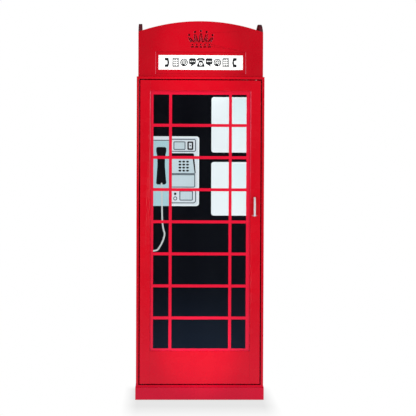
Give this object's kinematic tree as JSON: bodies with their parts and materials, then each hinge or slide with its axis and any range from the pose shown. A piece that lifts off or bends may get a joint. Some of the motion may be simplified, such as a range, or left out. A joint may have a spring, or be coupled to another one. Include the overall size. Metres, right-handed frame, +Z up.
{
  "type": "telephone booth cabinet",
  "caption": "Tall narrow storage cabinet shaped like a red telephone booth, with one hinged door holding a printed glass panel, arched fascias and a plinth.",
  "frame": {"origin": "on the floor, at the middle of the box that holds the cabinet with its handle", "axes": "+Z up, +X to the right as seen from the front, the front faces -Y"},
  "size_m": [0.612, 0.4232, 1.8],
  "materials": {
    "red_lacquer": "glossy red lacquer on fibreboard",
    "clear_glass": "clear float glass",
    "black_print": "printed sheet behind the glass",
    "white_sign": "white acrylic, satin",
    "black_steel": "matt black paint",
    "polished_steel": "polished",
    "zinc_steel": "zinc plated",
    "white_plastic": "matt"
  },
  "bodies": {
    "cabinet": {"plinth_front_board": "red_lacquer", "plinth_rear_board": "red_lacquer", "plinth_left_board": "red_lacquer", "plinth_right_board": "red_lacquer", "bottom_board": "red_lacquer", "left_side_panel": "red_lacquer", "right_side_panel": "red_lacquer", "top_board": "red_lacquer", "back_panel": "red_lacquer", "shelf_1": "red_lacquer", "shelf_1_pin_left_front": "zinc_steel", "shelf_1_pin_left_back": "zinc_steel", "shelf_1_pin_right_front": "zinc_steel", "shelf_1_pin_right_back": "zinc_steel", "shelf_2": "red_lacquer", "shelf_2_pin_left_front": "zinc_steel", "shelf_2_pin_left_back": "zinc_steel", "shelf_2_pin_right_front": "zinc_steel", "shelf_2_pin_right_back": "zinc_steel", "shelf_3": "red_lacquer", "shelf_3_pin_left_front": "zinc_steel", "shelf_3_pin_left_back": "zinc_steel", "shelf_3_pin_right_front": "zinc_steel", "shelf_3_pin_right_back": "zinc_steel", "shelf_4": "red_lacquer", "shelf_4_pin_left_front": "zinc_steel", "shelf_4_pin_left_back": "zinc_steel", "shelf_4_pin_right_front": "zinc_steel", "shelf_4_pin_right_back": "zinc_steel", "front_fascia": "red_lacquer", "rear_fascia": "red_lacquer", "left_fascia": "red_lacquer", "right_fascia": "red_lacquer", "sign_plate": "red_lacquer", "sign_panel": "white_sign", "emblem_backing_plate": "black_steel", "pivot_bush_lower": "black_steel", "pivot_bush_upper": "black_steel", "magnetic_catch": "white_plastic", "catch_screw_left": "zinc_steel", "catch_screw_right": "zinc_steel"},
    "door": {"door_hinge_stile": "red_lacquer", "door_lock_stile": "red_lacquer", "door_bottom_rail": "red_lacquer", "door_top_rail": "red_lacquer", "glass_pane": "clear_glass", "printed_backing_sheet": "black_print", "glazing_bead_left": "red_lacquer", "glazing_bead_right": "red_lacquer", "glazing_bead_lower": "red_lacquer", "glazing_bead_upper": "red_lacquer", "door_handle": "polished_steel", "handle_screw_lower": "zinc_steel", "handle_screw_upper": "zinc_steel", "pivot_pin_lower": "black_steel", "pivot_pin_upper": "black_steel", "strike_plate": "zinc_steel", "door_buffer": "white_plastic"}
  },
  "joints": [
    {"name": "door_hinge", "type": "hinge", "parent": "cabinet", "child": "door", "pos_m": [-0.2732, -0.17635, 0.798], "axis": [0, 0, -1], "range_deg": [0, 110]}
  ]
}
